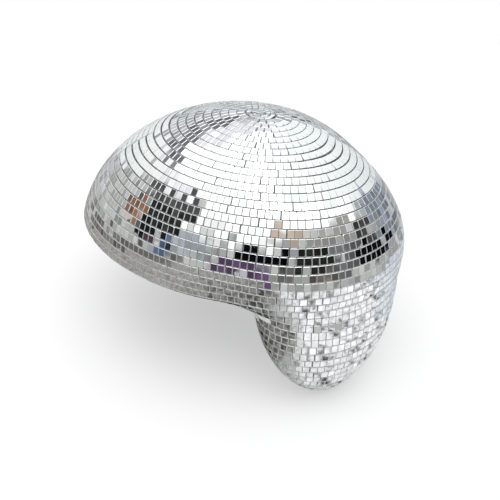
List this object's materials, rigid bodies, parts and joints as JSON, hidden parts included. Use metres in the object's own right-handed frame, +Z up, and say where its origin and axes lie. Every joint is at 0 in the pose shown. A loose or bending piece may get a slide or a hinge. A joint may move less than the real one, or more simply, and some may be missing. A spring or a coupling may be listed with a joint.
{
  "type": "mirror ball",
  "caption": "Half-melted mirror ball covered in square glass tiles: a low dome rests on a shelf and a rounded drip hangs over the front edge.",
  "frame": {"origin": "on the resting face, under the middle of the dome", "axes": "+Z up; the shelf's front edge runs along X, and the drip hangs on the -Y side"},
  "size_m": [0.2002, 0.2672, 0.1857],
  "materials": {
    "mirror_tile": "silvered glass with ground edges",
    "core_foam": "moulded foam with a dark grey coat of paint and glue",
    "board": "thin fibreboard",
    "felt": "black felt",
    "dowel_wood": "plain round rod"
  },
  "bodies": {
    "root": {"back_board": "board", "back_felt": "felt", "base_board": "board", "base_felt": "felt", "core_dowels": "dowel_wood", "crown_tile_pieces": "mirror_tile", "dome_core": "core_foam", "dome_tile_row_01": "mirror_tile", "dome_tile_row_02": "mirror_tile", "dome_tile_row_03": "mirror_tile", "dome_tile_row_04": "mirror_tile", "dome_tile_row_05": "mirror_tile", "dome_tile_row_06": "mirror_tile", "dome_tile_row_07": "mirror_tile", "dome_tile_row_08": "mirror_tile", "dome_tile_row_09": "mirror_tile", "dome_tile_row_10": "mirror_tile", "dome_tile_row_11": "mirror_tile", "dome_tile_row_12": "mirror_tile", "dome_tile_row_13": "mirror_tile", "dome_tile_row_14": "mirror_tile", "dome_tile_row_15": "mirror_tile", "dome_tile_row_16": "mirror_tile", "dome_tile_row_17": "mirror_tile", "dome_tile_row_18": "mirror_tile", "dome_tile_row_19": "mirror_tile", "dome_tile_row_20": "mirror_tile", "dome_tile_row_21": "mirror_tile", "dome_tile_row_22": "mirror_tile", "dome_tile_row_23": "mirror_tile", "dome_tile_row_24": "mirror_tile", "dome_tile_row_25": "mirror_tile", "dome_tile_row_26": "mirror_tile", "dome_tile_row_27": "mirror_tile", "dome_tile_row_28": "mirror_tile", "drip_neck_core": "core_foam", "drip_tile_row_01": "mirror_tile", "drip_tile_row_02": "mirror_tile", "drip_tile_row_03": "mirror_tile", "drip_tile_row_04": "mirror_tile", "drip_tile_row_05": "mirror_tile", "drip_tile_row_06": "mirror_tile", "drip_tile_row_07": "mirror_tile", "drip_tile_row_08": "mirror_tile", "drip_tile_row_09": "mirror_tile", "drip_tile_row_10": "mirror_tile", "drip_tile_row_11": "mirror_tile", "drip_tile_row_12": "mirror_tile", "drip_tile_row_13": "mirror_tile", "drip_tile_row_14": "mirror_tile", "drip_tile_row_15": "mirror_tile", "drip_tip_core": "core_foam", "tip_tile_pieces": "mirror_tile"}
  },
  "joints": []
}
